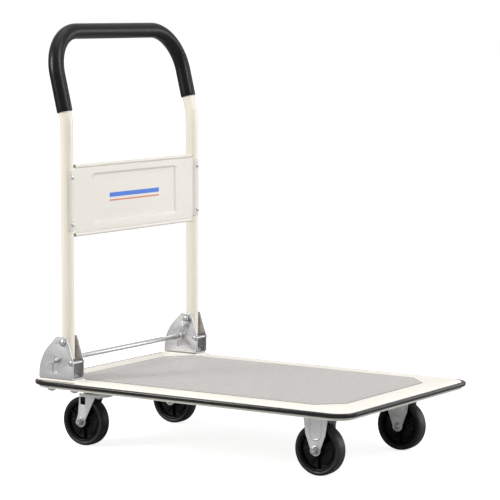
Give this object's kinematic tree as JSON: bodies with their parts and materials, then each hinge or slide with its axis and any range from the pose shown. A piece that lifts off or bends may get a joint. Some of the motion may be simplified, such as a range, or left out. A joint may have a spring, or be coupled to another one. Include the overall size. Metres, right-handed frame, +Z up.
{
  "type": "folding platform cart",
  "caption": "Flat-deck platform cart on four casters, with a tubular push handle that folds down over the deck once its foot-operated release bar is pressed.",
  "frame": {"origin": "on the floor under the centre of the deck's outline, with the handle upright", "axes": "+X to the front, away from the handle; +Y to the left of a person behind the handle; +Z up"},
  "size_m": [0.746, 0.489, 0.8454],
  "materials": {
    "cream_paint": "smooth satin powder coat",
    "panel_paint": "smooth satin powder coat",
    "grey_vinyl": "fine ribbed anti-slip sheet",
    "black_rubber": "semi-gloss extruded edge",
    "black_foam": "matt closed-cell foam",
    "zinc_plate": "zinc-plated pressed sheet",
    "bright_zinc": "bright zinc-plated rod and fasteners",
    "spring_steel": "drawn spring wire",
    "black_wheel": "moulded nylon",
    "black_tyre": "moulded solid rubber"
  },
  "bodies": {
    "platform": {"deck": "cream_paint", "deck_mat": "grey_vinyl", "edge_bumper": "black_rubber", "rear_cross_member": "cream_paint", "front_cross_member": "cream_paint", "hinge_bracket_left": "zinc_plate", "pivot_bolt_left": "bright_zinc", "stop_pin_left": "bright_zinc", "return_spring_left": "spring_steel", "caster_plate_left": "zinc_plate", "ball_race_left": "zinc_plate", "kingpin_left": "bright_zinc", "front_fork_left": "zinc_plate", "front_axle_bolt_left": "bright_zinc", "front_axle_nut_left": "bright_zinc", "base_bolt_rear_left": "bright_zinc", "base_bolt_front_left": "bright_zinc", "base_nut_rear_left": "zinc_plate", "base_nut_front_left": "zinc_plate", "hinge_bracket_right": "zinc_plate", "pivot_bolt_right": "bright_zinc", "stop_pin_right": "bright_zinc", "return_spring_right": "spring_steel", "caster_plate_right": "zinc_plate", "ball_race_right": "zinc_plate", "kingpin_right": "bright_zinc", "front_fork_right": "zinc_plate", "front_axle_bolt_right": "bright_zinc", "front_axle_nut_right": "bright_zinc", "base_bolt_rear_right": "bright_zinc", "base_bolt_front_right": "bright_zinc", "base_nut_rear_right": "zinc_plate", "base_nut_front_right": "zinc_plate"},
    "handle": {"handle_tube": "cream_paint", "grip_sleeve": "black_foam", "sign_panel": "panel_paint", "panel_rivet_upper_left": "bright_zinc", "panel_rivet_upper_right": "bright_zinc", "panel_rivet_lower_left": "bright_zinc", "panel_rivet_lower_right": "bright_zinc"},
    "release_bar": {"release_bar": "bright_zinc", "bar_pin_left": "bright_zinc", "bar_pin_right": "bright_zinc"},
    "swivel_left": {"swivel_fork_left": "zinc_plate", "rear_axle_bolt_left": "bright_zinc", "rear_axle_nut_left": "bright_zinc"},
    "rear_wheel_left": {"rear_tyre_left": "black_tyre", "rear_wheel_core_left": "black_wheel"},
    "front_wheel_left": {"front_tyre_left": "black_tyre", "front_wheel_core_left": "black_wheel"},
    "swivel_right": {"swivel_fork_right": "zinc_plate", "rear_axle_bolt_right": "bright_zinc", "rear_axle_nut_right": "bright_zinc"},
    "rear_wheel_right": {"rear_tyre_right": "black_tyre", "rear_wheel_core_right": "black_wheel"},
    "front_wheel_right": {"front_tyre_right": "black_tyre", "front_wheel_core_right": "black_wheel"}
  },
  "joints": [
    {"name": "handle_fold", "type": "hinge", "parent": "platform", "child": "handle", "pos_m": [-0.29, 0, 0.2167], "axis": [0, 1, 0], "range_deg": [0, 96]},
    {"name": "release_bar_press", "type": "slide", "parent": "platform", "child": "release_bar", "axis": [-0.1555, 0, -0.9878], "range_m": [0, 0.018], "stiffness_N_per_m": 500, "springref_m": -0.02, "deforming": ["return_spring_left", "return_spring_right"]},
    {"name": "swivel_turn_left", "type": "hinge", "parent": "platform", "child": "swivel_left", "pos_m": [-0.261, 0.154, 0.107], "axis": [0, 0, 1], "continuous": true},
    {"name": "swivel_turn_right", "type": "hinge", "parent": "platform", "child": "swivel_right", "pos_m": [-0.261, -0.154, 0.107], "axis": [0, 0, 1], "continuous": true},
    {"name": "rear_wheel_spin_left", "type": "hinge", "parent": "swivel_left", "child": "rear_wheel_left", "pos_m": [-0.293, 0.154, 0.05], "axis": [0, 1, 0], "continuous": true},
    {"name": "rear_wheel_spin_right", "type": "hinge", "parent": "swivel_right", "child": "rear_wheel_right", "pos_m": [-0.293, -0.154, 0.05], "axis": [0, 1, 0], "continuous": true},
    {"name": "front_wheel_spin_left", "type": "hinge", "parent": "platform", "child": "front_wheel_left", "pos_m": [0.261, 0.154, 0.05], "axis": [0, 1, 0], "continuous": true},
    {"name": "front_wheel_spin_right", "type": "hinge", "parent": "platform", "child": "front_wheel_right", "pos_m": [0.261, -0.154, 0.05], "axis": [0, 1, 0], "continuous": true}
  ]
}
